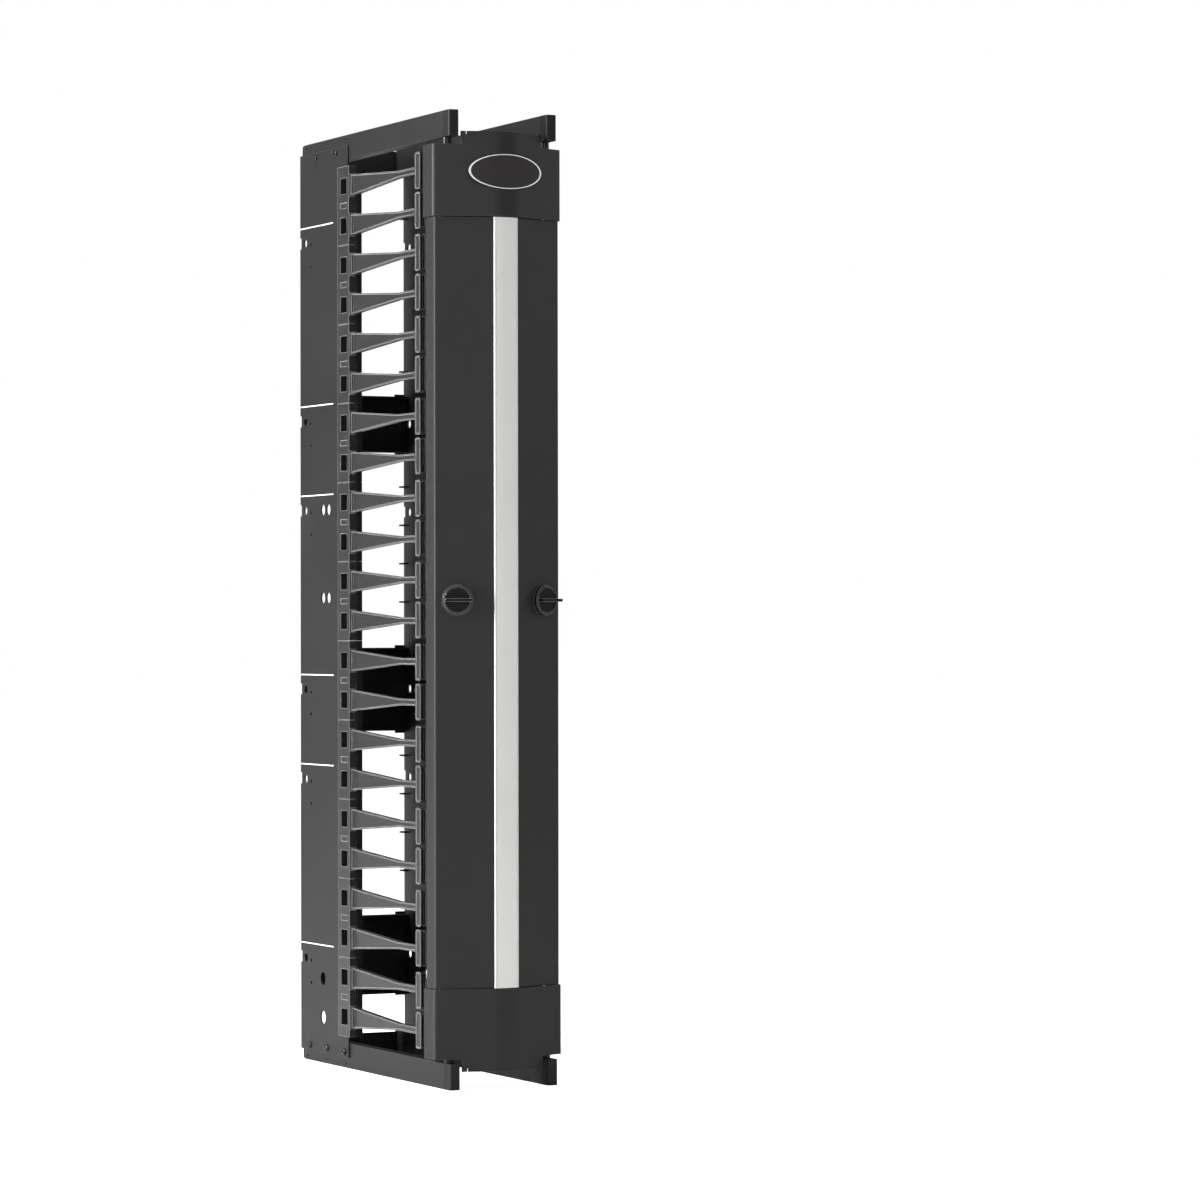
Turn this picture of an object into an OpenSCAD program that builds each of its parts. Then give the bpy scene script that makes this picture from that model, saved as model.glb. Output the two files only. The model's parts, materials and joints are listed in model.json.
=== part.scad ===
// Vertical cable manager: an open frame with two rows of plastic cable fingers,
// a dual-hinged prow-shaped door and a cap above and below it.
// Millimetres. +X right, +Y to the rear, +Z up. Origin: bottom centre of the whole part.

/* [Frame] */
// Height of one rack unit, the pitch of the fingers
unit_h = 44.45; // [40:0.05:50]
// Height of the frame below the lowest finger and above the highest
end_h = 35.05; // [34:0.05:45]
// Width over the outer faces of the tubes
frame_w = 128; // [120:1:140]
// Distance from the front of the tubes to their rear ends
tube_len = 396; // [380:1:430]
// Height of a tube's section
tube_h = 28; // [24:0.5:32]
// Width of a tube's section
tube_w = 12; // [10:0.5:16]
// Wall of a tube
tube_wall = 1.5; // [1:0.1:2]
// Length of the plastic end piece on the front of a tube
end_len = 18; // [12:1:24]
// Thickness of the side plates and braces
plate_t = 2; // [1.5:0.1:2.5]
// How far the side plates stop short of the frame's top and bottom
plate_inset = 12; // [8:1:14]
// How far the side plates reach past the tubes at the rear
plate_past = 8; // [6:0.5:20]
// Depth of a side plate's corners, front to rear
corner_d = 136; // [125:1:150]
// Depth of a side plate between its corners
web_d = 108; // [95:1:120]
// Width of the inward flanges of a side plate
flange_w = 12; // [8:1:16]

/* [Fingers] */
// Distance from the front of the tubes to the front of a finger head
head_front = 76; // [70:1:100]
// Depth of a finger head, front to rear
head_d = 12.8; // [8:0.2:16]
// Gap between neighbouring finger heads
head_gap = 4.85; // [4:0.05:10]
// Sideways thickness of a finger
finger_t = 7; // [5:0.5:9]
// Height of a finger at its root
root_h = 24; // [18:0.5:28]
// Height of a finger's straight neck
neck_h = 7.2; // [6:0.2:10]
// Distance from the front of the tubes to where the neck starts
neck_y = 135; // [110:1:160]
// Depth of the finger bases, front to rear
base_d = 33; // [30:0.5:40]
// Thickness of the finger bases
base_t = 8; // [7.5:0.5:10]
// Side of the square window at each finger's root
window = 18.4; // [12:0.2:20]
// Width of the raised rim round a finger
rim = 1.4; // [1:0.1:2]
// Depth of the recess inside the rim, on each face
recess = 2; // [0.5:0.1:2.5]

/* [Door] */
// Width of the door
door_w = 148; // [144:1:150]
// Thickness of the door's skin
door_t = 2; // [1.5:0.1:2.5]
// Slope of the door's two flat wings
wing_angle = 20; // [15:0.5:24]
// Radius of the bends at the edges of the door
bend_r = 3; // [2.6:0.2:5]
// Radius of the round nose between the wings
nose_r = 44; // [36:1:60]
// How far the nose reaches in front of the tubes
nose_out = 7.7; // [5:0.1:10]
// Distance from the front of the tubes to the rear edges of the door
door_back = 38; // [35:0.5:42]
// Width of the silver strip
strip_w = 25; // [16:1:28]
// Thickness of the silver strip
strip_t = 1.5; // [1.2:0.1:2]
// Distance of each knob from the edge of the door
knob_inset = 23; // [21:0.5:26]
// Diameter of a knob
knob_d = 32; // [28:0.5:36]

/* [Latch] */
// Diameter of a hinge pin
pin_d = 8; // [6:0.2:9]
// Distance of the hinge pins from the edges of the door
pin_inset = 12; // [10:0.5:14]
// Distance from the front of the tubes to the hinge pins
pin_y = 24; // [23:0.5:26]
// Radius on which the drive studs turn
stud_orbit = 9; // [8:0.2:10]
// Diameter of a drive stud
stud_d = 4; // [3:0.2:5]
// Width of a latch rod
rod_w = 8; // [6:0.5:10]
// Thickness of a latch rod
rod_t = 3; // [2:0.2:3.4]

/* [Caps] */
// Height of the upper cap at its shoulders
upper_cap_h = 77; // [70:1:85]
// Height of the lower cap at its shoulders
lower_cap_h = 75; // [70:1:85]
// Gap between the upper cap's shoulders and the tubes
upper_post_h = 8; // [6:0.5:12]
// Gap between the lower cap's shoulders and the tubes
lower_post_h = 4; // [3:0.5:8]
// How far the upper cap's tongue reaches past its shoulders
upper_tongue_h = 14; // [6:1:22]
// How far the lower cap's tongue reaches past its shoulders
lower_tongue_h = 13; // [6:1:20]
// Width of the tongues
tongue_w = 95; // [80:1:98]
// Thickness of a cap's wall
cap_t = 2; // [1.5:0.1:2.5]
// Gap between the door's surface and the inside of the caps
cap_gap = 0.2; // [0:0.1:1]
// Width of the oval badge
badge_w = 74; // [60:1:90]
// Height of the oval badge
badge_h = 33; // [28:1:40]

/* [Clearances] */
// Gap between the door and each cap
door_gap = 0.8; // [0.5:0.1:1.5]
// Radial running gap of the hinge pins and spindles
run_gap = 0.05; // [0.02:0.01:0.1]
// Gap between parts that slide past each other
slide_gap = 0.4; // [0.3:0.05:0.6]
// Gap between neighbouring finger modules
seam = 0.6; // [0.3:0.1:1]

/* [Hidden] */
$fn = 48;
eps = 0.01;
powder = [0.13, 0.13, 0.13];
plastic = [0.16, 0.16, 0.16];
steel = [0.6, 0.6, 0.62];
silver = [0.82, 0.82, 0.8];

// Places shared by several pieces
module_n = 11;
module_h = 2 * unit_h;
frame_h = 2 * end_h + module_n * module_h;
tube_x = frame_w / 2;
plate_x = tube_x + plate_t;
plate_z0 = plate_inset;
plate_z1 = frame_h - plate_inset;
plate_rear = tube_len + plate_past;
corner_front = plate_rear - corner_d;
base_rear = plate_rear - web_d;
root_y = base_rear - base_d;
finger_z0 = end_h;
head_h = unit_h - head_gap;
finger_x = tube_x - finger_t;
base_x = plate_x - base_t;
wing_tan = tan(wing_angle);
nose_c = nose_r - nose_out;
nose_steps = 8;
bend_steps = 4;
spindle_r = 6;
badge_t = 1.2;
upper_shoulder = frame_h - tube_h - upper_post_h;
lower_shoulder = tube_h + lower_post_h;
upper_tongue = upper_shoulder + upper_tongue_h;
lower_tongue = lower_shoulder - lower_tongue_h;
door_z0 = lower_shoulder + lower_cap_h;
door_z1 = upper_shoulder - upper_cap_h;
door_lo = door_z0 + door_gap;
door_hi = door_z1 - door_gap;
knob_x = door_w / 2 - knob_inset;
knob_z = frame_h / 2 - 0.5;
pin_x = door_w / 2 - pin_inset;
front_y = -(nose_out + cap_gap + cap_t + badge_t);
small_screw_r = 1.6;
head_ratio = 1.9;
head_rise = 1.1;
rear_y = plate_rear + head_rise * small_screw_r;
mid_y = (front_y + rear_y) / 2;

// Rows of holes in the side plates, in groups that repeat up the plate
hole_z0 = end_h + 1.5 * unit_h;
hole_group = 6.9 * unit_h;
hole_second = 4.6 * unit_h;
hole_pair = 25.2;
hole_rows = [for (i = [0:2], j = [0:1]) hole_z0 + hole_group * i + hole_second * j];
big_hole_z = [52, 96];
cable_hole_rise = [4, 104];
// How far each column of holes lies in front of the plates' rear face
pair_inset = 30.5;
hook_inset = 15;
big_inset = 64;
cable_insets = [65, 80.5];
upper_screw_insets = [46, 104];
lower_screw_insets = [27, 76, 125];
spare_inset = 6;
spare_pitch = 56;

// ---- shared shapes ----

// Plan outline of the front, pushed outward by o, with its rear edge at back
function wing_y(x, o = 0) =
    let (r = nose_r + o)
    nose_c - r * cos(wing_angle) + (x - r * sin(wing_angle)) * wing_tan;
function bend(o) =
    let (r = bend_r + o, x = door_w / 2 - bend_r, y = wing_y(x) + bend_r / cos(wing_angle))
    r < 0.3 ? [[door_w / 2 + o, wing_y(door_w / 2 + o, o)]] :
    [for (i = [0:bend_steps]) let (b = (wing_angle - 90) * (1 - i / bend_steps))
        [x + r * cos(b), y + r * sin(b)]];
function mirrored(points) =
    [for (i = [len(points) - 1:-1:0]) [-points[i][0], points[i][1]]];
function prow(o, back) =
    let (r = nose_r + o, x = door_w / 2 + o)
    concat(
        [for (i = [-nose_steps:nose_steps])
            let (b = wing_angle * i / nose_steps) [r * sin(b), nose_c - r * cos(b)]],
        bend(o), [[x, back], [-x, back]], mirrored(bend(o)));

// Draws its children on the right, or mirrored on the left
module side(s) {
    if (s < 0) mirror([1, 0, 0]) children();
    else children();
}

// Puts its children on the outer surface of the right wing at the knob:
// local X runs outward along the wing, local Y goes in through the door
module at_knob() {
    translate([knob_x, wing_y(knob_x), knob_z]) rotate([0, 0, wing_angle]) children();
}

// Extrudes an outline drawn in the Y-Z plane along X, from x by t
module slab(x, t) {
    translate([x, 0, 0]) rotate([90, 0, 90]) linear_extrude(t) children();
}

// Rectangle with round corners, centred
module round_rect(w, h, r) {
    square([w - 2 * r, h], center = true);
    square([w, h - 2 * r], center = true);
    for (x = [-1, 1], y = [-1, 1]) translate([x * (w / 2 - r), y * (h / 2 - r)]) circle(r);
}

// Cylinder along X from x by t
module rod_x(x, t, r) {
    translate([x, 0, 0]) rotate([0, 90, 0]) cylinder(h = t, r = r);
}

// ---- frame ----

screw_y_upper = [for (d = upper_screw_insets) plate_rear - d];
screw_y_lower = [for (d = lower_screw_insets) plate_rear - d];
screw_z = 18;
screw_r = 2;

// One tube on the right, with its rear holes; up is 1 for an upper tube
module tube(s, up) {
    z = up ? frame_h - tube_h : 0;
    screw_row = up ? frame_h - screw_z : screw_z;
    spare_row = up ? frame_h - 4.5 : 4.5;
    color(powder) side(s) difference() {
        translate([tube_x - tube_w, end_len, z]) cube([tube_w, tube_len - end_len, tube_h]);
        translate([tube_x - tube_w + tube_wall, end_len - 1, z + tube_wall])
            cube([tube_w - 2 * tube_wall, tube_len, tube_h - 2 * tube_wall]);
        for (y = up ? screw_y_upper : screw_y_lower)
            translate([0, y, screw_row]) rod_x(tube_x - 3, 4, screw_r + run_gap);
        for (i = [0:2]) translate([0, tube_len - spare_inset - i * spare_pitch, spare_row])
            rod_x(tube_x - 3, 4, 1.7);
    }
}

// Plastic end pieces, flush with the tubes, each with a plug inside the tube
module tube_front_ends() {
    fit = 0.1;
    corner = 2.5;
    w = tube_w;
    color(plastic) for (s = [-1, 1], z = [0, frame_h - tube_h]) side(s)
        translate([tube_x - w, 0, z]) {
            translate([0, corner, 0]) cube([w, end_len - corner, tube_h]);
            translate([corner, 0, 0]) cube([w - 2 * corner, corner + eps, tube_h]);
            for (x = [corner, w - corner]) translate([x, corner, 0]) cylinder(h = tube_h, r = corner);
            translate([tube_wall + fit, end_len - eps, tube_wall + fit])
                cube([w - 2 * (tube_wall + fit), 10, tube_h - 2 * (tube_wall + fit)]);
        }
}

module tube_rear_plugs() {
    fit = 0.1;
    lip = 2;
    color(plastic) for (s = [-1, 1], z = [0, frame_h - tube_h]) side(s)
        translate([tube_x - tube_w, tube_len, z]) {
            cube([tube_w, lip, tube_h]);
            translate([tube_wall + fit, -4, tube_wall + fit])
                cube([tube_w - 2 * (tube_wall + fit), 4 + eps, tube_h - 2 * (tube_wall + fit)]);
        }
}

// Side plate: a web outside the tubes, a rear flange, a front flange that carries
// the finger bases, and corners that reach forward over the tubes
module side_plate(s) {
    flange_y = base_rear;
    web_h = plate_z1 - plate_z0;
    finger_z1 = frame_h - finger_z0;
    tab = 5;
    color(powder) side(s) difference() {
        union() {
            slab(tube_x, plate_t) polygon([
                [flange_y, finger_z0], [corner_front, finger_z0], [corner_front, plate_z0],
                [plate_rear, plate_z0], [plate_rear, plate_z1], [corner_front, plate_z1],
                [corner_front, finger_z1], [flange_y, finger_z1]]);
            translate([tube_x - flange_w, plate_rear - plate_t, plate_z0])
                cube([flange_w + eps, plate_t, web_h - 4]);
            translate([tube_x - flange_w + 2, flange_y, finger_z0])
                cube([flange_w - 2 + eps, plate_t, finger_z1 - finger_z0]);
            // Tie-off tabs, one to each rack unit
            for (i = [0:2 * module_n - 1]) translate([0, 0, finger_z0 + (i + 0.5) * unit_h]) {
                translate([tube_x - flange_w - tab, plate_rear - plate_t, -2.5])
                    cube([tab + eps, plate_t, 5]);
                translate([tube_x - flange_w + 2 - tab, flange_y, -2.5])
                    cube([tab + eps, plate_t, 5]);
            }
        }
        for (y = screw_y_upper) translate([0, y, frame_h - screw_z]) plate_hole(screw_r + run_gap);
        for (y = screw_y_lower) translate([0, y, screw_z]) plate_hole(screw_r + run_gap);
        for (z = hole_rows) {
            for (d = [-0.5, 0.5]) translate([0, plate_rear - pair_inset, z + d * hole_pair])
                plate_hole(2.25);
            translate([0, plate_rear - hook_inset, z + 15]) plate_hole(3);
            translate([tube_x - 6, plate_rear - 3.5, z + 9.5]) cube([12, 6, 12.5]);
        }
        for (z = big_hole_z) translate([0, plate_rear - big_inset, z]) plate_hole(7.6);
        for (z = cable_hole_rise, y = cable_insets)
            translate([0, plate_rear - y, frame_h / 2 + z]) plate_hole(6.5);
        for (i = [0:module_n - 1], d = [-1, 1])
            translate([base_screw_x, flange_y - 1, finger_z0 + (i + 0.5) * module_h + d * base_screw_z])
                rotate([-90, 0, 0]) cylinder(h = plate_t + 2, r = small_screw_r + 0.1);
        for (b = brace_z, d = [0.25, 0.75])
            translate([brace_screw_x, plate_rear - plate_t - 1, b[0] + d * (b[1] - b[0])])
                rotate([-90, 0, 0]) cylinder(h = plate_t + 2, r = small_screw_r + 0.1);
    }
}

module plate_hole(r) {
    rod_x(tube_x - 1, plate_t + 2, r);
}

// Lower and upper edge of each cross brace, from the floor, the middle or the top
brace_from = [0, 0, frame_h / 2, frame_h / 2, frame_h];
brace_lo = [12, 71, -149, 173, -28];
brace_hi = [26, 162, -53, 238, -16];
brace_z = [for (i = [0:4]) [brace_from[i] + brace_lo[i], brace_from[i] + brace_hi[i]]];
brace_screw_x = tube_x - 6;

// Channel-shaped cross brace in front of the side plates' rear flanges
module rear_brace(i) {
    z0 = brace_z[i][0];
    z1 = brace_z[i][1];
    w = tube_x - 0.2;
    y = plate_rear - 2 * plate_t;
    lip = 10;
    // The braces beside the tubes have no lips, as the tubes end just in front of them
    lips = i > 0 && i < 4;
    color(powder) difference() {
        union() {
            translate([-w, y, z0]) cube([2 * w, plate_t, z1 - z0]);
            if (lips) for (z = [z0, z1 - plate_t])
                translate([-w, y - lip, z]) cube([2 * w, lip + eps, plate_t]);
        }
        for (s = [-1, 1], d = [0.25, 0.75])
            translate([s * brace_screw_x, y - 1, z0 + d * (z1 - z0)])
                rotate([-90, 0, 0]) cylinder(h = plate_t + 2, r = small_screw_r + 0.1);
    }
}

// Pan-head screw along +X with its head at the origin, outside
module pan_screw(r, len) {
    head = head_ratio * r;
    rotate([0, -90, 0]) {
        cylinder(h = head_rise * r, r1 = head, r2 = 0.8 * head);
        translate([0, 0, -len]) cylinder(h = len + eps, r = r);
    }
}

module frame_screws() {
    color(steel) for (s = [-1, 1]) side(s) {
        for (y = screw_y_upper) translate([plate_x, y, frame_h - screw_z])
            mirror([1, 0, 0]) pan_screw(screw_r, 6);
        for (y = screw_y_lower) translate([plate_x, y, screw_z])
            mirror([1, 0, 0]) pan_screw(screw_r, 6);
        for (b = brace_z, d = [0.25, 0.75])
            translate([brace_screw_x, plate_rear, b[0] + d * (b[1] - b[0])])
                rotate([0, 0, -90]) pan_screw(small_screw_r, 5);
    }
}

// ---- fingers ----

base_screw_x = tube_x - head_ratio * small_screw_r - 0.2;
base_screw_z = unit_h - 6;
head_shift = 0.65;
head_wall = 1.1;

// Side outline of a tapered finger, drawn d smaller all round
module finger_outline(d) {
    polygon([
        [root_y + 4, root_h / 2 - d], [neck_y, neck_h / 2 - d], [head_front + head_d + d, neck_h / 2 - d],
        [head_front + head_d + d, d - neck_h / 2], [neck_y, d - neck_h / 2], [root_y + 4, d - root_h / 2]]);
}

// One finger at local Z 0, its head shifted by dz
module finger(dz) {
    difference() {
        union() {
            slab(finger_x, finger_t) finger_outline(0);
            translate([0, head_front + head_d / 2, dz])
                slab(finger_x, finger_t) round_rect(head_d, head_h, 2.5);
        }
        // Recesses leave a rim along both edges of the finger and a web in its middle
        for (x = [finger_x - 1, tube_x - recess])
            slab(x, recess + 1) intersection() {
                finger_outline(rim);
                translate([0, -root_h]) square([root_y - 2, 2 * root_h]);
            }
        translate([0, head_front + head_d / 2, dz])
            slab(tube_x - 0.6, 2) round_rect(head_d - 2 * rim, head_h - 2 * rim, 1.5);
        // Pocket in the front of the head
        translate([tube_x - finger_t / 2, head_front - 1, dz]) rotate([-90, 0, 0])
            linear_extrude(6) round_rect(finger_t - 2 * head_wall, head_h - 3 * head_wall, 1);
    }
}

// Module of two fingers on one base, with a square window at the root of each
module finger_module(s, n) {
    base_h = module_h - seam;
    win_y = (root_y + base_rear - 1) / 2;
    color(plastic) side(s) translate([0, 0, finger_z0 + (n - 0.5) * module_h]) {
        for (d = [-1, 1]) translate([0, 0, d * unit_h / 2]) finger(-d * head_shift);
        difference() {
            slab(base_x, plate_x - base_x) union() {
                translate([root_y + 1.5, -base_h / 2]) square([base_rear - root_y - 1.5, base_h]);
                // Rounded lands at the roots
                for (d = [-1, 1]) translate([root_y, d * unit_h / 2 - root_h / 2 - 1])
                    square([4, root_h + 2]);
            }
            for (d = [-1, 1]) translate([base_x - 1, win_y - window / 2, d * unit_h / 2 - window / 2])
                cube([plate_x - base_x + 2, window, window]);
            for (d = [-1, 1]) translate([base_screw_x, base_rear - 6, d * base_screw_z])
                rotate([-90, 0, 0]) cylinder(h = 7, r = small_screw_r + run_gap);
            // Shallow relief between the two windows
            translate([plate_x - 0.6, win_y - window / 2, -3]) cube([2, window, 6]);
        }
    }
}

module finger_screws() {
    color(steel) for (s = [-1, 1]) side(s)
        for (i = [0:module_n - 1], d = [-1, 1])
            translate([base_screw_x, base_rear + plate_t, finger_z0 + (i + 0.5) * module_h])
                translate([0, 0, d * base_screw_z]) rotate([0, 0, -90]) pan_screw(small_screw_r, 7);
}

// ---- caps ----

tongue_slit_x = 42;
post_x = tube_x - tube_w / 2;
post_y = 18;
post_r = 5;
cap_back = door_back + 2;

// Prow-shaped shell between two heights
module cap_shell(z0, z1) {
    translate([0, 0, z0]) linear_extrude(z1 - z0) difference() {
        polygon(prow(cap_gap + cap_t, cap_back));
        polygon(prow(cap_gap, cap_back + 1));
    }
}

// Cap body: from is the edge beside the door, shoulder and tongue are the far edges
module cap(from, shoulder, tongue) {
    up = shoulder > from;
    shelf = up ? shoulder - cap_t : shoulder;
    z_lo = min(from, shoulder);
    color(powder) difference() {
        union() {
            cap_shell(z_lo, max(from, shoulder));
            translate([0, 0, shelf]) linear_extrude(cap_t) polygon(prow(cap_gap + eps, cap_back));
            intersection() {
                cap_shell(min(shoulder, tongue) - eps, max(shoulder, tongue) + eps);
                translate([-tongue_w / 2, -50, 0]) cube([tongue_w, 80, frame_h]);
            }
        }
        // Screw holes under the posts and the relief slits in the tongue
        for (x = [-post_x, post_x]) translate([x, post_y, shelf - 1])
            cylinder(h = cap_t + 2, r = screw_r + run_gap);
        for (x = [-tongue_slit_x, tongue_slit_x])
            translate([x - 0.8, -40, up ? tongue - 5 : tongue - 1]) cube([1.6, 60, 6]);
    }
}

module upper_cap() {
    cap(door_z1, upper_shoulder, upper_tongue);
}

module lower_cap() {
    cap(door_z0, lower_shoulder, lower_tongue);
}

// Oval badge that follows the front of the upper cap
module badge() {
    badge_z = upper_shoulder - 29;
    lip = 0.9;
    o = cap_gap + cap_t;
    color(plastic) intersection() {
        difference() {
            translate([0, 0, badge_z - badge_h]) linear_extrude(2 * badge_h) difference() {
                polygon(prow(o + badge_t, cap_back));
                polygon(prow(o, cap_back + 1));
            }
            // The face lies a little below the rim
            intersection() {
                translate([0, 0, badge_z - badge_h]) linear_extrude(2 * badge_h) difference() {
                    polygon(prow(o + badge_t + 1, cap_back));
                    polygon(prow(o + badge_t - 0.4, cap_back + 1));
                }
                oval_block(badge_z, badge_w / 2 - lip, badge_h / 2 - lip);
            }
        }
        oval_block(badge_z, badge_w / 2, badge_h / 2);
    }
}

// Elliptical block along Y, its outline worked out by angle
module oval_block(z, a, b) {
    translate([0, 20, z]) rotate([90, 0, 0]) linear_extrude(60)
        polygon([for (i = [0:59]) [a * cos(6 * i), b * sin(6 * i)]]);
}

// Standoffs with their screws between the caps' shoulders and the tubes
module cap_posts() {
    gaps = [[upper_shoulder, frame_h - tube_h], [tube_h, lower_shoulder]];
    color(steel) for (x = [-post_x, post_x], g = gaps) translate([x, post_y, g[0]])
        cylinder(h = g[1] - g[0], r = post_r);
}

// ---- hinges ----

bracket_w = 22;
bracket_x = pin_x - 12;
bracket_t = 2.5;
bracket_front = 17.5;
pin_r = pin_d / 2;
pin_reach = 16;
cradle_grip = 1.5;
flange_gap = 3;

// Bracket in the upper right corner, drawn with z 0 at the door's end, going up to z top
module hinge_bracket(top) {
    difference() {
        translate([bracket_x, bracket_front, flange_gap])
            cube([bracket_w, cap_back - bracket_front, top - flange_gap]);
        translate([bracket_x - 1, bracket_front - 1, flange_gap + bracket_t])
            cube([bracket_w + 2, cap_back - bracket_front - bracket_t + 1, top - flange_gap - 2 * bracket_t]);
        translate([pin_x, pin_y, 0]) cylinder(h = 20, r = pin_r + run_gap);
    }
}

module upper_hinge_brackets() {
    color(powder) for (s = [-1, 1]) side(s)
        translate([0, 0, door_z1]) hinge_bracket(upper_shoulder - cap_t - door_z1);
}

module lower_hinge_brackets() {
    color(powder) for (s = [-1, 1]) side(s)
        translate([0, 0, door_z0]) mirror([0, 0, 1]) hinge_bracket(door_z0 - lower_shoulder - cap_t);
}

// Headed pin that hangs from the bracket's lower flange into the door's corner
module pivot_pin() {
    seat = flange_gap + bracket_t;
    translate([pin_x, pin_y, 0]) {
        translate([0, 0, -pin_reach]) cylinder(h = pin_reach + seat, r = pin_r);
        translate([0, 0, seat]) cylinder(h = 3, r = pin_r + 1.8);
    }
}

module pivot_pins(s) {
    color(steel) side(s) {
        translate([0, 0, door_z1]) pivot_pin();
        translate([0, 0, door_z0]) mirror([0, 0, 1]) pivot_pin();
    }
}

// Room round a pin, open to the rear
module pin_room(z0, h) {
    r = pin_r + slide_gap;
    translate([pin_x, pin_y, z0]) {
        cylinder(h = h, r = r);
        translate([-r, 0, 0]) cube([2 * r, 40, h]);
    }
}

// ---- door ----

skin_in = -door_t;
end_lip = 16;
groove_d = 1;

module door_shell() {
    h = door_hi - door_lo;
    color(powder) translate([0, 0, door_lo]) difference() {
        union() {
            linear_extrude(h) difference() {
                polygon(prow(0, door_back));
                polygon(prow(skin_in, door_back + 1));
            }
            // Turned-in lips at the two ends
            for (z = [0, h - door_t]) translate([0, 0, z]) linear_extrude(door_t) difference() {
                polygon(prow(skin_in + eps, door_back - 8));
                polygon(prow(skin_in - end_lip, door_back + 1));
            }
        }
        // Shallow channel for the strip
        linear_extrude(h * 3, center = true) intersection() {
            difference() {
                polygon(prow(5, door_back));
                polygon(prow(-groove_d, door_back));
            }
            translate([0, -20]) square([strip_w + 3, 40], center = true);
        }
        for (s = [-1, 1]) side(s) {
            pin_room(-1, h + 2);
            translate([0, 0, -door_lo]) at_knob() rotate([-90, 0, 0])
                translate([0, 0, -5]) cylinder(h = 10, r = spindle_r + run_gap);
        }
    }
}

module centre_strip() {
    color(silver) translate([0, 0, door_lo]) linear_extrude(door_hi - door_lo) intersection() {
        difference() {
            polygon(prow(strip_t - groove_d, door_back));
            polygon(prow(-groove_d, door_back));
        }
        translate([0, -20]) square([strip_w, 40], center = true);
    }
}

// Moulded corner blocks inside the door that hook round the pins from the front
module pin_cradles() {
    block_x = pin_x - pin_r - slide_gap - 3;
    block_h = 12;
    color(plastic) for (s = [-1, 1], z = [door_lo + door_t, door_hi - door_t - block_h]) side(s)
        difference() {
            translate([0, 0, z]) linear_extrude(block_h) intersection() {
                polygon(prow(skin_in, door_back));
                translate([block_x, 0]) square([60, pin_y + cradle_grip]);
            }
            pin_room(z - 1, block_h + 2);
        }
}

// ---- latch ----

cam_t = 3;
cam_y = door_t + 0.5;
cam_r = 13;
rod_y = cam_y + cam_t + slide_gap;
stud_r = stud_d / 2;
stud_rest = stud_orbit * sin(45);
yoke_h = stud_d + 2 * slide_gap + 7;
shank_z = stud_rest + yoke_h / 2 + 1.2;
tongue_h = 15;
rod_rise = 2 * stud_rest;
// Free height between a rod's end and the pin's end when the latch is open
tongue_gap = 1;
upper_end = door_z1 - pin_reach - tongue_gap;
lower_end = door_z0 + pin_reach + tongue_gap;

module escutcheons() {
    color(plastic) for (s = [-1, 1]) side(s) at_knob() rotate([90, 0, 0]) difference() {
        cylinder(h = 2, r = knob_d / 2 + 1);
        translate([0, 0, -1]) cylinder(h = 4, r = spindle_r + run_gap);
    }
}

// Knob disc with a grip blade across it, and its spindle through the door
module knob(s) {
    disc_y = 2.4;
    disc_h = 4.5;
    blade_h = 8.5;
    blade_w = 3.2;
    color(plastic) side(s) at_knob() rotate([90, 0, 0]) {
        // Two steps, the upper one dished on both sides of the blade
        translate([0, 0, disc_y]) cylinder(h = disc_h - 1.5, r = knob_d / 2);
        difference() {
            translate([0, 0, disc_y]) cylinder(h = disc_h, r = knob_d / 2 - 1);
            translate([0, 0, disc_y + disc_h - 1.2]) cylinder(h = 3, r = knob_d / 2 - 2.5);
        }
        intersection() {
            translate([-knob_d / 2, -blade_w / 2, disc_y]) cube([knob_d, blade_w, disc_h + blade_h]);
            translate([0, 0, disc_y - 1]) cylinder(h = 30, r = knob_d / 2 - 1.5);
        }
        translate([0, 0, -cam_y]) cylinder(h = cam_y + disc_y + eps, r = spindle_r);
        translate([0, 0, -cam_y - cam_t]) cylinder(h = cam_t + eps, r = 4);
    }
}

// Disc on the spindle with two studs that drive the rods
module latch_cam(s) {
    color(steel) side(s) at_knob() rotate([-90, 0, 0]) {
        translate([0, 0, cam_y]) difference() {
            cylinder(h = cam_t, r = cam_r);
            translate([0, 0, -1]) cylinder(h = cam_t + 2, r = 4 + run_gap);
        }
        // Studs: local Y points down here
        for (d = [-1, 1]) translate([d * stud_rest, d * stud_rest, cam_y + cam_t - eps])
            cylinder(h = rod_t + 2 * slide_gap + 0.5, r = stud_r);
    }
}

// Flat outline of the end of a rod at the cam, with its cross slot; z is up, x outward
module yoke_outline() {
    slot_r = stud_r + slide_gap;
    difference() {
        union() {
            translate([1, -stud_rest - yoke_h / 2]) square([13.5, yoke_h]);
            translate([6, -stud_rest]) square([8.5, stud_rest + shank_z + 8]);
            translate([-rod_w / 2, shank_z]) square([rod_w / 2 + 14.5, 8]);
        }
        translate([stud_rest, -stud_rest]) circle(slot_r);
        translate([stud_orbit, -stud_rest]) circle(slot_r);
        translate([stud_rest, -stud_rest - slot_r]) square([stud_orbit - stud_rest, 2 * slot_r]);
    }
}

// A rod at the knob, reaching len above it; flip turns it over for the lower rod
module rod_blade(len, flip) {
    translate([0, rod_y + rod_t, 0]) rotate([90, flip ? 180 : 0, 0]) linear_extrude(rod_t) {
        yoke_outline();
        translate([-rod_w / 2, shank_z]) square([rod_w, len - shank_z]);
    }
}

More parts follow.
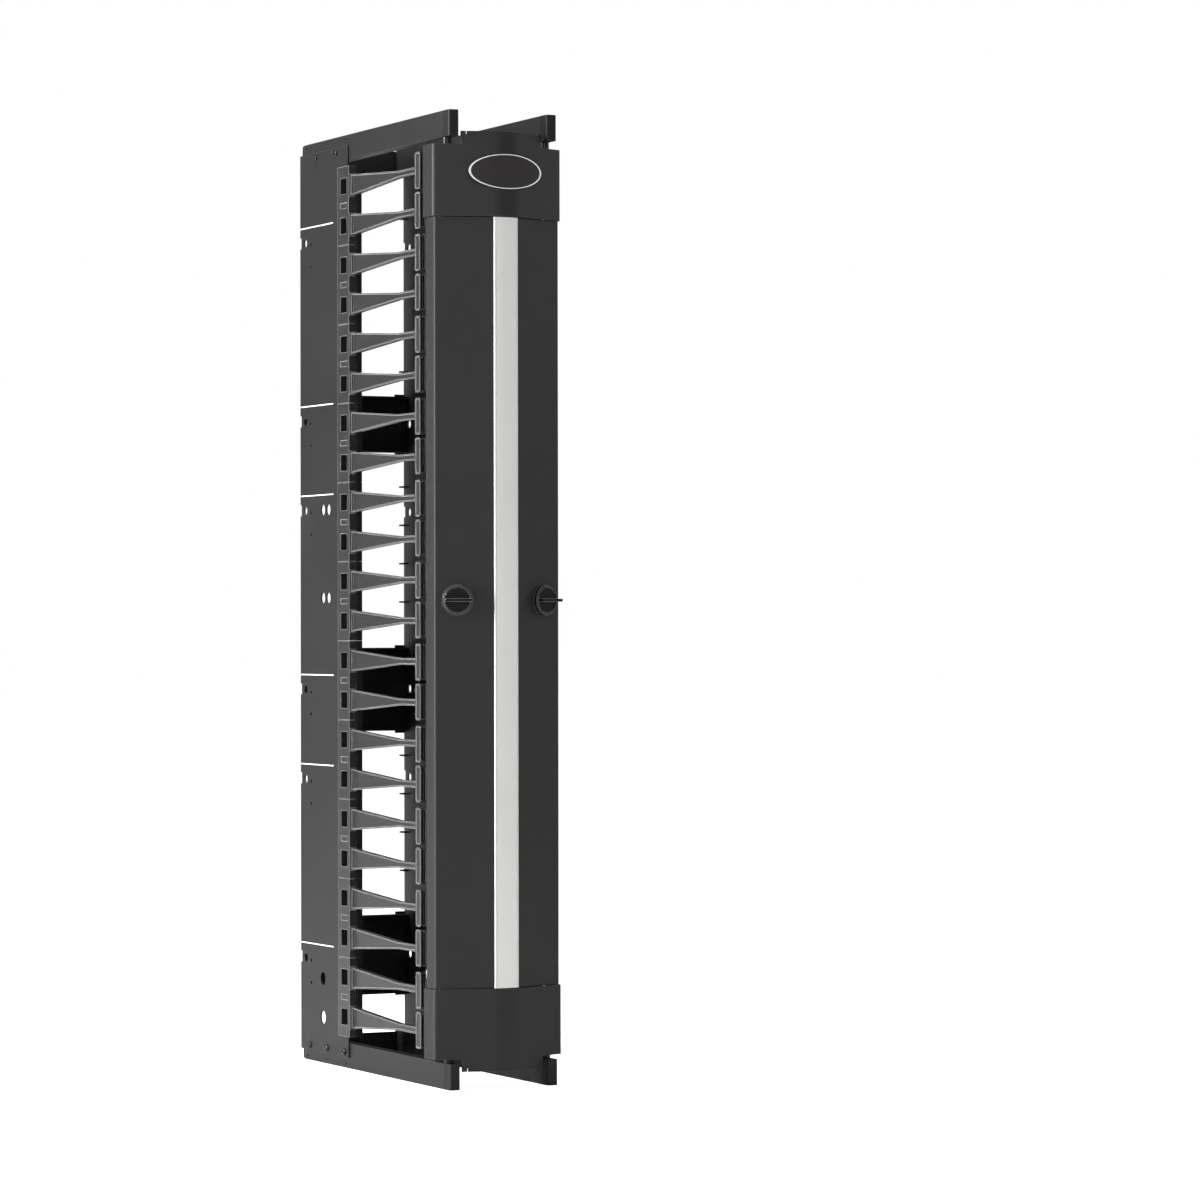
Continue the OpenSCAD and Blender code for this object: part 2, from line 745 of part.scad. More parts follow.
// Tongue at a rod's end: reaches back past the pin's cradle, then outward behind the pin
module rod_tongue(z) {
    arm_x = knob_x - 5;
    arm_w = 4.5;
    arm_y = wing_y(knob_x) + rod_y;
    back_y = pin_y + pin_r + slide_gap;
    translate([0, 0, z]) {
        translate([arm_x, arm_y + 1, 0]) cube([arm_w, back_y + 3.5 - arm_y - 1, tongue_h]);
        translate([arm_x, back_y, 0]) cube([pin_x + pin_r + 1 - arm_x, 3.5, tongue_h]);
    }
}

module rod_upper(s) {
    color(steel) side(s) {
        at_knob() rod_blade(upper_end - knob_z, false);
        rod_tongue(upper_end - tongue_h);
    }
}

module rod_lower(s) {
    color(steel) side(s) {
        at_knob() rod_blade(knob_z - lower_end, true);
        rod_tongue(lower_end);
    }
}

// Slotted blocks on the inside of the wings that the rods slide in
module rod_guides() {
    guide_h = 12;
    guide_w = rod_w + 8;
    guide_d = rod_y + rod_t + slide_gap + 2;
    reach = upper_end - knob_z;
    guide_z = [for (d = [-1, 1], f = [0.15, 0.47, 0.82]) d * f * reach];
    color(plastic) for (s = [-1, 1]) side(s) at_knob() for (z = guide_z) difference() {
        translate([-guide_w / 2, door_t, z - guide_h / 2]) cube([guide_w, guide_d - door_t, guide_h]);
        translate([-rod_w / 2 - slide_gap, rod_y - slide_gap, z - guide_h])
            cube([rod_w + 2 * slide_gap, rod_t + 2 * slide_gap, 2 * guide_h]);
    }
}

// ---- assembly ----

module placed() {
    translate([0, -mid_y, 0]) children();
}

placed() {
    tube(-1, true);  // tube_upper_left
    tube(1, true);  // tube_upper_right
    tube(-1, false);  // tube_lower_left
    tube(1, false);  // tube_lower_right
    tube_front_ends();
    tube_rear_plugs();
    side_plate(-1);  // side_plate_left
    side_plate(1);  // side_plate_right
    for (i = [0:4]) rear_brace(i);
    frame_screws();
    for (n = [1:module_n]) {
        label = str(n < 10 ? "0" : "", n);
        finger_module(-1, n);
        finger_module(1, n);
    }
    finger_screws();
    upper_cap();
    lower_cap();
    badge();
    cap_posts();
    upper_hinge_brackets();
    lower_hinge_brackets();
    pivot_pins(-1);  // left_pivot_pins
    pivot_pins(1);  // right_pivot_pins
    door_shell();
    centre_strip();
    pin_cradles();
    rod_guides();
    escutcheons();
    knob(-1);  // knob_left
    knob(1);  // knob_right
    latch_cam(-1);  // latch_cam_left
    latch_cam(1);  // latch_cam_right
    rod_upper(-1);  // rod_upper_left
    rod_upper(1);  // rod_upper_right
    rod_lower(-1);  // rod_lower_left
    rod_lower(1);  // rod_lower_right
}
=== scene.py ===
# %% [markdown]
# A vertical cable manager for a server rack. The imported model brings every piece
# at its real size and place; this lesson adds the finishes, the printed marks,
# the screw heads and the studio. We start by loading the model and noting the
# box it fills, because everything below is placed from that box.

# %% Load the model
import json
import math

import bmesh
import bpy
from mathutils import Matrix, Vector


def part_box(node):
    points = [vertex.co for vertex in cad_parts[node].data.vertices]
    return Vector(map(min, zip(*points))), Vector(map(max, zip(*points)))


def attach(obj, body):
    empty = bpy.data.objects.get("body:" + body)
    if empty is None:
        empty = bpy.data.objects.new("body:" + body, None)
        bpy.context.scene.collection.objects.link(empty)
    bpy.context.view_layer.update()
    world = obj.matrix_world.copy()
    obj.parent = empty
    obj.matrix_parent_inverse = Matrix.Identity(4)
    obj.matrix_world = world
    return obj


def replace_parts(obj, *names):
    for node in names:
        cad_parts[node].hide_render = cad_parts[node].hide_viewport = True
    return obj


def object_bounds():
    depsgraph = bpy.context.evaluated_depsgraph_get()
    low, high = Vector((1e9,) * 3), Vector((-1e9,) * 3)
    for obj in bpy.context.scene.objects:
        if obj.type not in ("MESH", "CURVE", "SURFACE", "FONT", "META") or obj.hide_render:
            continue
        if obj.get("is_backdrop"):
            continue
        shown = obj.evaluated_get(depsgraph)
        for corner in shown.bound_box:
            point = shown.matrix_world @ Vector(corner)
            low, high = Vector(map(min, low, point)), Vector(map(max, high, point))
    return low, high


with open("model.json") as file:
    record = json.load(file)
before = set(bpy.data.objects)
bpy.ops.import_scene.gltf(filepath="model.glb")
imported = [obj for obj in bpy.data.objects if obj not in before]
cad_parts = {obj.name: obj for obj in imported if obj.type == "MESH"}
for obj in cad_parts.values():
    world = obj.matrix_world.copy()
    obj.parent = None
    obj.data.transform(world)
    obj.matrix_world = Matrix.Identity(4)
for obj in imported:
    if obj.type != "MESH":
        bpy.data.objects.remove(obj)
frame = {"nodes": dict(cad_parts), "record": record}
nodes = frame["nodes"]
box_low, box_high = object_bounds()
size_rows = [list(box_low), list(box_high)]
MM = 0.001
print("nodes:", len(nodes), "size in mm:", [round(v / MM, 1) for v in box_high - box_low])

# %% [markdown]
# The camera comes first. A catalogue picture of a tall narrow object is taken from
# far away with a long lens, so that its vertical edges stay parallel. The camera
# stands to the left of the door, level with the middle of the object, and looks
# past its right side, which leaves room beside it for its neighbour in a row.
# We build the rotation from three plain directions instead of from Euler angles.

# %% Camera
CAMERA_PLACE = Vector((-2.0271, -4.4523, 0.4922))
CAMERA_HEADING = math.radians(26.73)
CAMERA_TILT = math.radians(0.38)
CAMERA_ROLL = math.radians(0.09)
LENS = 131.65

forward = Vector((
    math.sin(CAMERA_HEADING) * math.cos(CAMERA_TILT),
    math.cos(CAMERA_HEADING) * math.cos(CAMERA_TILT),
    math.sin(CAMERA_TILT),
))
level_right = Vector((math.cos(CAMERA_HEADING), -math.sin(CAMERA_HEADING), 0))
level_up = level_right.cross(forward)
right = level_right * math.cos(CAMERA_ROLL) - level_up * math.sin(CAMERA_ROLL)
up = right.cross(forward)

camera_data = bpy.data.cameras.new("camera")
camera_data.lens = LENS
camera_data.sensor_width = 36
camera_data.clip_end = 100
camera = bpy.data.objects.new("camera", camera_data)
bpy.context.scene.collection.objects.link(camera)
camera.matrix_world = Matrix((right, up, -forward)).transposed().to_4x4()
camera.location = CAMERA_PLACE
bpy.context.scene.camera = camera
bpy.context.scene.view_settings.view_transform = "Standard"
print("camera", round((CAMERA_PLACE - (box_low + box_high) / 2).length, 2), "m from the middle")

# %% [markdown]
# Two effects turn up in nearly every finish here, so each is made once as a node
# group. The first is a grain: noise at a fine and at a broad size. Stretching the
# coordinates by a different amount along each axis turns the same noise into the
# pebbles of powder coat, the lines of brushed metal or the mould texture of
# plastic. The groups hand out only values and normals, and the shader itself stays
# in each material.

# %% Node group: grain
def new_group(name, inputs, outputs):
    group = bpy.data.node_groups.new(name, "ShaderNodeTree")
    for label, kind, value in inputs:
        socket = group.interface.new_socket(name=label, in_out="INPUT", socket_type=kind)
        socket.default_value = value
    for label, kind in outputs:
        group.interface.new_socket(name=label, in_out="OUTPUT", socket_type=kind)
    return group, group.nodes.new("NodeGroupInput"), group.nodes.new("NodeGroupOutput")


def math_node(tree, operation, first, second):
    node = tree.nodes.new("ShaderNodeMath")
    node.operation = operation
    for socket, value in zip(node.inputs, (first, second)):
        if isinstance(value, (int, float)):
            socket.default_value = value
        else:
            tree.links.new(value, socket)
    return node.outputs[0]


def make_grain_group():
    group, entry, exit_node = new_group(
        "grain",
        [("Fine Size", "NodeSocketVector", (1e-3,) * 3), ("Broad Size", "NodeSocketFloat", 0.1)],
        [("Fine", "NodeSocketFloat"), ("Broad", "NodeSocketFloat")],
    )
    place = group.nodes.new("ShaderNodeTexCoord").outputs["Object"]
    stretch = group.nodes.new("ShaderNodeVectorMath")
    stretch.operation = "DIVIDE"
    group.links.new(place, stretch.inputs[0])
    group.links.new(entry.outputs["Fine Size"], stretch.inputs[1])
    fine = group.nodes.new("ShaderNodeTexNoise")
    fine.inputs["Scale"].default_value = 1
    fine.inputs["Detail"].default_value = 2
    group.links.new(stretch.outputs[0], fine.inputs["Vector"])
    broad = group.nodes.new("ShaderNodeTexNoise")
    broad.inputs["Detail"].default_value = 3
    group.links.new(place, broad.inputs["Vector"])
    group.links.new(math_node(group, "DIVIDE", 1.0, entry.outputs["Broad Size"]), broad.inputs["Scale"])
    group.links.new(fine.outputs["Fac"], exit_node.inputs["Fine"])
    group.links.new(broad.outputs["Fac"], exit_node.inputs["Broad"])
    return group


grain_group = make_grain_group()
print("group:", grain_group.name)

# %% [markdown]
# The second effect is the edge. A cut or moulded edge is never perfectly sharp:
# it has a small radius that catches the light as a thin bright line. The Bevel
# node gives the normal that such a radius would have. Where that normal differs
# from the true one we are on an edge, and the difference becomes a mask that
# paints the edge paler, a painted highlight for that bright line, and makes it smoother.

# %% Node group: edge
def make_edge_group():
    group, entry, exit_node = new_group(
        "edge",
        [("Radius", "NodeSocketFloat", 0.0005), ("Gain", "NodeSocketFloat", 3.0)],
        [("Mask", "NodeSocketFloat"), ("Normal", "NodeSocketVector")],
    )
    bevel = group.nodes.new("ShaderNodeBevel")
    bevel.samples = 6
    group.links.new(entry.outputs["Radius"], bevel.inputs["Radius"])
    true_normal = group.nodes.new("ShaderNodeNewGeometry").outputs["True Normal"]
    dot = group.nodes.new("ShaderNodeVectorMath")
    dot.operation = "DOT_PRODUCT"
    group.links.new(bevel.outputs[0], dot.inputs[0])
    group.links.new(true_normal, dot.inputs[1])
    turned = math_node(group, "SUBTRACT", 1.0, dot.outputs["Value"])
    mask = math_node(group, "MULTIPLY", turned, entry.outputs["Gain"])
    limit = group.nodes.new("ShaderNodeClamp")
    group.links.new(mask, limit.inputs[0])
    group.links.new(limit.outputs[0], exit_node.inputs["Mask"])
    group.links.new(bevel.outputs[0], exit_node.inputs["Normal"])
    return group


edge_group = make_edge_group()
print("group:", edge_group.name)

# %% [markdown]
# One function builds every finish from those two groups: a dark and a pale tone
# mixed by the broad noise, a pale edge tone laid over it as a painted highlight,
# a roughness that follows both, and a fine bump on top of the rounded edge normal.
# What differs between powder coat, plastic and metal is only the values. Plain
# numbers go straight on the shader's own sockets.

# %% Finish builder
EDGE_POLISH = 0.1


def finish(name, tones, painted_edge_highlight, roughness, fine, bump, edge=0.0006, broad=0.12, spread=0.04,
           gain=3.0, metallic=0.0, specular=0.5):
    material = bpy.data.materials.new(name)
    material.use_nodes = True
    tree = material.node_tree
    shader = tree.nodes["Principled BSDF"]
    shader.inputs["Metallic"].default_value = metallic
    shader.inputs["Specular IOR Level"].default_value = specular

    grain = tree.nodes.new("ShaderNodeGroup")
    grain.node_tree = grain_group
    grain.inputs["Fine Size"].default_value = fine
    grain.inputs["Broad Size"].default_value = broad
    rim = tree.nodes.new("ShaderNodeGroup")
    rim.node_tree = edge_group
    rim.inputs["Radius"].default_value = edge
    rim.inputs["Gain"].default_value = gain

    body = mix_colour(tree, grain.outputs["Broad"], (*tones[0], 1), (*tones[1], 1))
    # Painted highlight: the edge mask mixes in a pale tone for the bright line a rounded edge catches.
    colour = mix_colour(tree, rim.outputs["Mask"], body, (*painted_edge_highlight, 1))
    tree.links.new(colour, shader.inputs["Base Color"])

    drift = math_node(tree, "MULTIPLY", grain.outputs["Broad"], spread * 2)
    rough = math_node(tree, "ADD", drift, roughness - spread)
    polish = math_node(tree, "MULTIPLY", rim.outputs["Mask"], EDGE_POLISH)
    tree.links.new(math_node(tree, "SUBTRACT", rough, polish), shader.inputs["Roughness"])

    bump_node = tree.nodes.new("ShaderNodeBump")
    bump_node.inputs["Strength"].default_value = 1
    bump_node.inputs["Distance"].default_value = bump
    tree.links.new(grain.outputs["Fine"], bump_node.inputs["Height"])
    tree.links.new(rim.outputs["Normal"], bump_node.inputs["Normal"])
    tree.links.new(bump_node.outputs[0], shader.inputs["Normal"])
    print("finish:", name)
    return material


def mix_colour(tree, factor, first, second):
    node = tree.nodes.new("ShaderNodeMix")
    node.data_type = "RGBA"
    tree.links.new(factor, node.inputs["Factor"])
    for socket, value in zip((node.inputs[6], node.inputs[7]), (first, second)):
        if isinstance(value, tuple):
            socket.default_value = value
        else:
            tree.links.new(value, socket)
    return node.outputs[2]

# %% [markdown]
# Powder coat is a baked-on paint with a fine pebbled skin. The frame, the door and
# the caps share one recipe, with tones set apart to match how light falls on each:
# painted light and shade on one coat. The coat is nearly black in itself. What we
# see as dark grey is mostly light from the side that its pebbles scatter towards us.

# %% Powder coats
PEBBLE = (0.0011,) * 3
# One coat in three tones: the differences between frame, door and cap are painted light and shade.
frame_coat = finish("frame powder coat", [(0.0095, 0.0092, 0.0092), (0.016, 0.0154, 0.0154)],
                    (0.16, 0.156, 0.156), 0.46, PEBBLE, 0.00004, specular=0.35)
door_coat = finish("door powder coat", [(0.0125, 0.0125, 0.0128), (0.0195, 0.0195, 0.0199)],
                   (0.14, 0.14, 0.14), 0.5, PEBBLE, 0.00010, edge=0.0008, specular=0.32)
cap_coat = finish("cap powder coat", [(0.0125, 0.0125, 0.0127), (0.0195, 0.0195, 0.0198)],
                  (0.14, 0.14, 0.14), 0.48, PEBBLE, 0.00010, edge=0.0008, specular=0.32)

# %% [markdown]
# The fingers are moulded from a tough satin plastic. Their edges are rounder than
# those of sheet metal, so the edge radius is larger and its painted edge highlight
# paler. The end pieces are a plainer matt plastic, and the knobs are glossy.

# %% Plastics
finger_plastic = finish("finger plastic", [(0.017, 0.0162, 0.0162), (0.027, 0.0257, 0.0257)],
                        (0.62, 0.61, 0.61), 0.36, (0.0006,) * 3, 0.00002, edge=0.0008, gain=5.0, specular=0.5)
end_plastic = finish("end piece plastic", [(0.006, 0.0057, 0.0057), (0.010, 0.0095, 0.0095)],
                     (0.06, 0.06, 0.06), 0.5, (0.0005,) * 3, 0.00002, edge=0.0007, specular=0.3)
knob_plastic = finish("knob plastic", [(0.0015, 0.0015, 0.0015), (0.003, 0.003, 0.003)],
                      (0.35, 0.35, 0.35), 0.24, (0.0005,) * 3, 0.000004, edge=0.0007, gain=4.0, specular=0.3)
badge_face = finish("badge face", [(0.024, 0.021, 0.021), (0.030, 0.026, 0.026)],
                    (0.03, 0.03, 0.03), 0.45, (0.0004,) * 3, 0.000006, edge=0.0003, specular=0.3)

# %% [markdown]
# The strip down the middle of the door is anodised aluminium. Its brushing runs
# with its length, so the grain is stretched along Z. The screws are black zinc and
# the latch parts plain zinc, both metals with a mild grain.

# %% Metals
strip_metal = finish("strip aluminium", [(0.76, 0.77, 0.74), (0.82, 0.83, 0.80)],
                     (0.9, 0.9, 0.89), 0.42, (0.0004, 0.0004, 0.02), 0.00001, edge=0.0004,
                     gain=2.0, metallic=0.2)
screw_metal = finish("black zinc", [(0.004, 0.004, 0.0042), (0.008, 0.008, 0.0083)],
                     (0.25, 0.25, 0.25), 0.3, (0.0008,) * 3, 0.00001, edge=0.0004, metallic=0.3)
latch_metal = finish("zinc plate", [(0.42, 0.42, 0.43), (0.55, 0.55, 0.56)],
                     (0.75, 0.75, 0.75), 0.36, (0.0008, 0.0008, 0.006), 0.00002, metallic=0.9)
white_print = finish("white print", [(0.86, 0.86, 0.85), (0.92, 0.92, 0.91)],
                     (0.93, 0.93, 0.93), 0.5, (0.0006,) * 3, 0.000005, edge=0.0001)

# %% [markdown]
# Every node of the model already carries the name of its finish in the record, so
# the finishes are handed out through that one table.

# %% Hand out the finishes
FINISH_OF_SLOT = {
    "powder_coat": frame_coat,
    "door_coat": door_coat,
    "cap_coat": cap_coat,
    "end_plastic": end_plastic,
    "finger_plastic": finger_plastic,
    "knob_plastic": knob_plastic,
    "badge_plate": badge_face,
    "strip_metal": strip_metal,
    "screw_steel": screw_metal,
    "latch_steel": latch_metal,
}
slot_of_node = {row["node"]: row["material_slot"] for row in frame["record"]["subparts"]}
for name, node in nodes.items():
    node.data.materials.clear()
    node.data.materials.append(FINISH_OF_SLOT[slot_of_node[name]])
print("finishes given to", len(nodes), "nodes")

# %% [markdown]
# Small pieces are built with bmesh, which lets us lay points and faces by hand.
# This helper turns a finished bmesh into an object that rides on a body of the
# model and names its finish.

# %% Helper: piece from a mesh
def add_piece(name, mesh, body, material):
    bmesh.ops.recalc_face_normals(mesh, faces=mesh.faces)
    data = bpy.data.meshes.new(name)
    mesh.to_mesh(data)
    mesh.free()
    data.materials.append(material)
    piece = bpy.data.objects.new(name, data)
    bpy.context.scene.collection.objects.link(piece)
    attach(piece, body)
    print("piece:", name, len(data.polygons), "faces")
    return piece

# %% [markdown]
# Pan-head screws hold the side plates to the tubes, the braces to the plates and
# the finger bases to the flanges. The model has each as a plain head and shank. We
# find each one by parting the node's mesh into its separate bodies, then set a
# turned head with a hexagon socket there. The head is a lathe shape: a profile
# swept round in steps, whose innermost rings follow a hexagon instead of a circle.

# %% Screw heads
SOCKET_SHARE = 0.42
HEAD_TO_SHANK = 1.9
HEAD_RISE = 1.1


def separate_boxes(node):
    mesh = bmesh.new()
    mesh.from_mesh(node.data)
    bmesh.ops.remove_doubles(mesh, verts=mesh.verts, dist=1e-6)
    left = set(mesh.verts)
    boxes = []
    while left:
        stack = [left.pop()]
        group = []
        while stack:
            vert = stack.pop()
            group.append(vert.co.copy())
            for edge in vert.link_edges:
                other = edge.other_vert(vert)
                if other in left:
                    left.remove(other)
                    stack.append(other)
        low = Vector([min(c[i] for c in group) for i in range(3)])
        high = Vector([max(c[i] for c in group) for i in range(3)])
        boxes.append((low, high))
    mesh.free()
    return boxes


def hexagon(angle):
    sixth = math.pi / 3
    return math.cos(sixth / 2) / math.cos((angle % sixth) - sixth / 2)


def add_screw(mesh, seat, outward, head_r, head_h, shank_r, length):
    steps = 24
    socket_r = head_r * SOCKET_SHARE
    profile = [
        (shank_r, -length, False), (shank_r, 0, False), (head_r, 0, False),
        (head_r, head_h * 0.35, False), (head_r * 0.93, head_h * 0.7, False),
        (head_r * 0.75, head_h * 0.93, False), (head_r * 0.55, head_h, False),
        (socket_r, head_h, True), (socket_r, head_h * 0.35, True),
    ]
    turn = outward.to_track_quat("Z", "Y").to_matrix()
    rings = []
    for radius, height, six_sided in profile:
        ring = []
        for step in range(steps):
            angle = 2 * math.pi * step / steps
            r = radius * (hexagon(angle) if six_sided else 1)
            point = Vector((r * math.cos(angle), r * math.sin(angle), height))
            ring.append(mesh.verts.new(seat + turn @ point))
        rings.append(ring)
    for lower, upper in zip(rings, rings[1:]):
        for step in range(steps):
            after = (step + 1) % steps
            mesh.faces.new((lower[step], lower[after], upper[after], upper[step]))
    mesh.faces.new(rings[0])
    mesh.faces.new(rings[-1])


def replace_screws(node_name, piece_name):
    mesh = bmesh.new()
    for low, high in separate_boxes(nodes[node_name]):
        size = high - low
        middle = (low + high) / 2
        sideways = abs(size.y - size.z) < min(abs(size.x - size.z), 0.2 * MM)
        axis = 0 if sideways else 1
        head_r = min(size.z, size.y if sideways else size.x) / 2
        shank_r = head_r / HEAD_TO_SHANK
        head_h = shank_r * HEAD_RISE
        outward = Vector((0, 0, 0))
        outward[axis] = 1 if (axis == 1 or middle.x > 0) else -1
        seat = middle.copy()
        seat[axis] = (high if outward[axis] > 0 else low)[axis] - outward[axis] * head_h
        # Two heads that touch are one body of the node, and are set one above the other
        heights = [middle.z] if size.z < 3 * head_r else [low.z + head_r, high.z - head_r]
        for seat.z in heights:
            add_screw(mesh, seat, outward, head_r, head_h, shank_r, size[axis] - head_h)
    piece = add_piece(piece_name, mesh, "root", screw_metal)
    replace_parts(piece, node_name)


replace_screws("frame_screws", "frame_screw_heads")
replace_screws("finger_screws", "finger_base_screws")

# %% [markdown]
# Each side plate carries six thin printed lines that mark where accessories hang.
# A printed mark is a film of ink, so each is a very thin plate on the surface. It
# starts at the plate's rear edge and stops short of the fingers.

# %% Printed lines
LINE_HEIGHT = 1.3 * MM
LINE_LENGTH = 95 * MM
INK = 0.12 * MM
FIRST_GROUP = 101.7 * MM
GROUP_PITCH = 306.8 * MM
SECOND_GROUP = 204.5 * MM
LINE_ABOVE_GROUP = 31.5 * MM


def add_block(mesh, low, high):
    verts = [mesh.verts.new((x, y, z))
             for z in (low[2], high[2]) for y in (low[1], high[1]) for x in (low[0], high[0])]
    for face in ((0, 1, 3, 2), (4, 5, 7, 6), (0, 1, 5, 4), (2, 3, 7, 6), (0, 2, 6, 4), (1, 3, 7, 5)):
        mesh.faces.new([verts[i] for i in face])


GROUP_HEIGHTS = [FIRST_GROUP + GROUP_PITCH * group + SECOND_GROUP * second
                 for group in range(3) for second in range(2)]
EDGE_GAP = 0.5 * MM


def add_printed_lines(side, plate_name):
    low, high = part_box(plate_name)
    face = low.x if side < 0 else high.x
    xs = sorted((face, face + side * INK))
    mesh = bmesh.new()
    for height in GROUP_HEIGHTS:
        z = height + LINE_ABOVE_GROUP
        add_block(mesh, (xs[0], high.y - LINE_LENGTH, z), (xs[1], high.y - EDGE_GAP, z + LINE_HEIGHT))
    name = "printed_lines_left" if side < 0 else "printed_lines_right"
    add_piece(name, mesh, "root", white_print)


add_printed_lines(-1, "side_plate_left")
add_printed_lines(1, "side_plate_right")

# %% [markdown]
# The badge is a thin oval plate, stiffer than the cap's sheet, so it bends less
# than the cap's round nose and its two ends stand a little off the sloping wings.
# Its plan is a parabola. A white bead runs round its edge.

# %% Badge
badge_low, badge_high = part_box("badge")
BADGE_HALF = Vector((43.0, 0, 18.6)) * MM
BADGE_BEND = 6.0 * MM
BADGE_THICK = 1.4 * MM
BORDER_WIDTH = 0.9 * MM
BORDER_RISE = 0.15 * MM


def badge_point(angle, share, depth):
    x = BADGE_HALF.x * share * math.cos(angle)
    z = (badge_low.z + badge_high.z) / 2 + BADGE_HALF.z * share * math.sin(angle)
    return Vector((x, badge_low.y + depth + BADGE_BEND * (x / BADGE_HALF.x) ** 2, z))


def add_badge_rings(name, rings, material, closed):
    steps = 96
    mesh = bmesh.new()
    rows = [[mesh.verts.new(badge_point(2 * math.pi * k / steps, share, depth)) for k in range(steps)]
            for share, depth in rings]
    pairs = list(zip(rows, rows[1:])) + ([(rows[-1], rows[0])] if closed else [])
    for here, after in pairs:
        for k in range(steps):
            n = (k + 1) % steps
            mesh.faces.new((here[k], here[n], after[n], after[k]))
    if not closed:
        mesh.faces.new(rows[0])
        mesh.faces.new(rows[-1])
    return add_piece(name, mesh, "root", material)


border_share = 1 - BORDER_WIDTH / BADGE_HALF.z
border_back = BORDER_RISE + 0.1 * MM
shares = [0.02, 0.25, 0.5, 0.75, border_share, 0.995]
face_rings = [(share, BORDER_RISE) for share in shares]
back_rings = [(share, BADGE_THICK) for share in reversed(shares)]
badge_plate = add_badge_rings("badge_plate", face_rings + back_rings, badge_face, False)
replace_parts(badge_plate, "badge")
border_rings = [(1, border_back), (1, 0), (border_share, 0), (border_share, border_back)]
add_badge_rings("badge_border", border_rings, white_print, True)

# %% [markdown]
# The cap's plan is two sloping wings joined by a round nose. One function gives
# how far forward a surface lies at each X, for any offset from the door's skin.
# Each cap turns in at the edge beside the door. This lip closes the view through
# the narrow gap, and it leaves room for the hinge pins.

# %% Cap lips
WING_SLOPE = math.radians(20)
NOSE_RADIUS = 44 * MM
CAP_OUTSIDE = 2.2 * MM
PLATE_OVER = 1.2 * MM
LIP_THICK = 1.6 * MM
LIP_SPAN = 72 * MM
LIP_STEPS = 36
LIP_SINK = 0.6 * MM
PIN_SIDE = 54 * MM
REACH_AT_PINS = 5.6 * MM
REACH_BETWEEN = 14 * MM


def skin_y(x, lift):
    radius = NOSE_RADIUS + lift
    centre_y = badge_low.y + NOSE_RADIUS + CAP_OUTSIDE + PLATE_OVER
    edge_x = radius * math.sin(WING_SLOPE)
    if abs(x) <= edge_x:
        return centre_y - math.sqrt(radius * radius - x * x)
    return centre_y - radius * math.cos(WING_SLOPE) + (abs(x) - edge_x) * math.tan(WING_SLOPE)


def add_cap_lip(cap_name, piece_name, upward):
    low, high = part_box(cap_name)
    z = low.z if upward else high.z - LIP_THICK
    mesh = bmesh.new()
    rows = []
    for step in range(2 * LIP_STEPS + 1):
        x = LIP_SPAN * (step / LIP_STEPS - 1)
        reach = REACH_AT_PINS if abs(x) > PIN_SIDE else REACH_BETWEEN
        outer, inner = skin_y(x, LIP_SINK), skin_y(x, 0) + reach
        rows.append([mesh.verts.new((x, y, zz)) for zz in (z, z + LIP_THICK) for y in (outer, inner)])
    for a, b in zip(rows, rows[1:]):
        for i, j in ((0, 1), (1, 3), (3, 2), (2, 0)):
            mesh.faces.new((a[i], a[j], b[j], b[i]))
    for row in (rows[0], rows[-1]):
        mesh.faces.new((row[0], row[1], row[3], row[2]))
    add_piece(piece_name, mesh, "root", cap_coat)


add_cap_lip("upper_cap", "upper_cap_lip", True)
add_cap_lip("lower_cap", "lower_cap_lip", False)

# %% [markdown]
# The side plates are open channels: between the braces, their rear edge has no
# flange, only a small tie-off tab for each rack unit. We take the model's plate,
# weld it, and cut the rear flange away between the ears that carry the braces.
# The same cut widens the keyhole beside each pair of small holes.

# %% Side plates
BRACE_NAMES = ["rear_brace_%d" % i for i in range(1, 6)]
SHEET = 2 * MM
EAR_MARGIN = 3 * MM
SHORTEST_CUT = 20 * MM
FLANGE_CUT_WIDTH = 25 * MM
FLANGE_DEPTH = 3.2 * MM
TAB = Vector((9.0, 8.0, 2.0)) * MM
TAB_INSET = 6 * MM
TAB_CLEARANCE = 6 * MM
TABS_EACH_WAY = 10
UNIT = 44.45 * MM
KEYHOLE_RADIUS = 4.9 * MM
KEYHOLE_INSET = 15 * MM
KEYHOLE_RISE = 15 * MM
TOUCH = 0.05 * MM


def welded_copy(node_name):
    mesh = bmesh.new()
    mesh.from_mesh(nodes[node_name].data)
    bmesh.ops.remove_doubles(mesh, verts=mesh.verts, dist=1e-6)
    return mesh


def mesh_object(name, mesh):
    data = bpy.data.meshes.new(name)
    mesh.to_mesh(data)
    mesh.free()
    made = bpy.data.objects.new(name, data)
    bpy.context.scene.collection.objects.link(made)
    return made


def plate_cutters(side, low, high):
    cutters = bmesh.new()
    edges = [low.z - 1 * MM]
    for name in BRACE_NAMES:
        brace_low, brace_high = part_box(name)
        edges += [brace_low.z - EAR_MARGIN, brace_high.z + EAR_MARGIN]
    edges.append(high.z + 1 * MM)
    inner = high.x - SHEET - TOUCH if side > 0 else low.x + SHEET + TOUCH
    xs = sorted((inner, inner - side * FLANGE_CUT_WIDTH))
    for z0, z1 in zip(edges[::2], edges[1::2]):
        if z1 - z0 > SHORTEST_CUT:
            add_block(cutters, (xs[0], high.y - FLANGE_DEPTH, z0), (xs[1], high.y + 1 * MM, z1))
    for height in GROUP_HEIGHTS:
        centre = Matrix.Translation((inner, high.y - KEYHOLE_INSET, height + KEYHOLE_RISE))
        bmesh.ops.create_cone(cutters, cap_ends=True, segments=32, radius1=KEYHOLE_RADIUS,
                              radius2=KEYHOLE_RADIUS, depth=6 * SHEET,
                              matrix=centre @ Matrix.Rotation(math.pi / 2, 4, "Y"))
    bmesh.ops.recalc_face_normals(cutters, faces=cutters.faces)
    return mesh_object("cutters", cutters), edges


